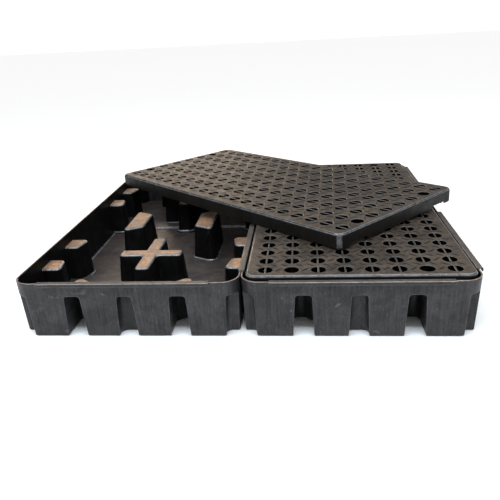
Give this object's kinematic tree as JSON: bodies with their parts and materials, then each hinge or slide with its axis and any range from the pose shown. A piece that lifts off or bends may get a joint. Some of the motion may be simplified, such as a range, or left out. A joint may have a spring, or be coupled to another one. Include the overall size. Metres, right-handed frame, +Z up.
{
  "type": "spill containment pallet",
  "caption": "Low bunded work floor of joined black trays with lift-out perforated grates and slide-on rim strips.",
  "frame": {"origin": "on the ground, at the middle of the seam between the two trays", "axes": "+X from the left tray to the right tray, +Y from front to back, +Z up"},
  "size_m": [1.6575, 1.8392, 0.3018],
  "materials": {
    "tray_plastic": "satin moulded black with fine streaks and scuffs",
    "grate_plastic": "satin moulded black with worn warm edges",
    "strip_plastic": "extruded satin black"
  },
  "bodies": {
    "trays": {"tray_left": "tray_plastic", "tray_right": "tray_plastic", "strip_seam_front": "strip_plastic", "strip_seam_back": "strip_plastic"},
    "seated_grate": {"grate_seated": "grate_plastic"},
    "loose_grate": {"grate_loose": "grate_plastic"},
    "front_left_strip": {"strip_front_left": "strip_plastic"},
    "front_right_strip": {"strip_front_right": "strip_plastic"},
    "right_front_strip": {"strip_right_front": "strip_plastic"},
    "right_back_strip": {"strip_right_back": "strip_plastic"}
  },
  "joints": [
    {"name": "seated_grate_lift", "type": "slide", "parent": "trays", "child": "seated_grate", "axis": [0, 0, 1], "range_m": [0, 0.3]},
    {"name": "loose_grate_lift", "type": "slide", "parent": "seated_grate", "child": "loose_grate", "axis": [0, 0, 1], "range_m": [0, 0.3]},
    {"name": "front_left_strip_lift", "type": "slide", "parent": "trays", "child": "front_left_strip", "axis": [0, 0, 1], "range_m": [0, 0.1]},
    {"name": "front_right_strip_lift", "type": "slide", "parent": "trays", "child": "front_right_strip", "axis": [0, 0, 1], "range_m": [0, 0.1]},
    {"name": "right_front_strip_lift", "type": "slide", "parent": "trays", "child": "right_front_strip", "axis": [0, 0, 1], "range_m": [0, 0.02]},
    {"name": "right_back_strip_lift", "type": "slide", "parent": "trays", "child": "right_back_strip", "axis": [0, 0, 1], "range_m": [0, 0.1]}
  ]
}
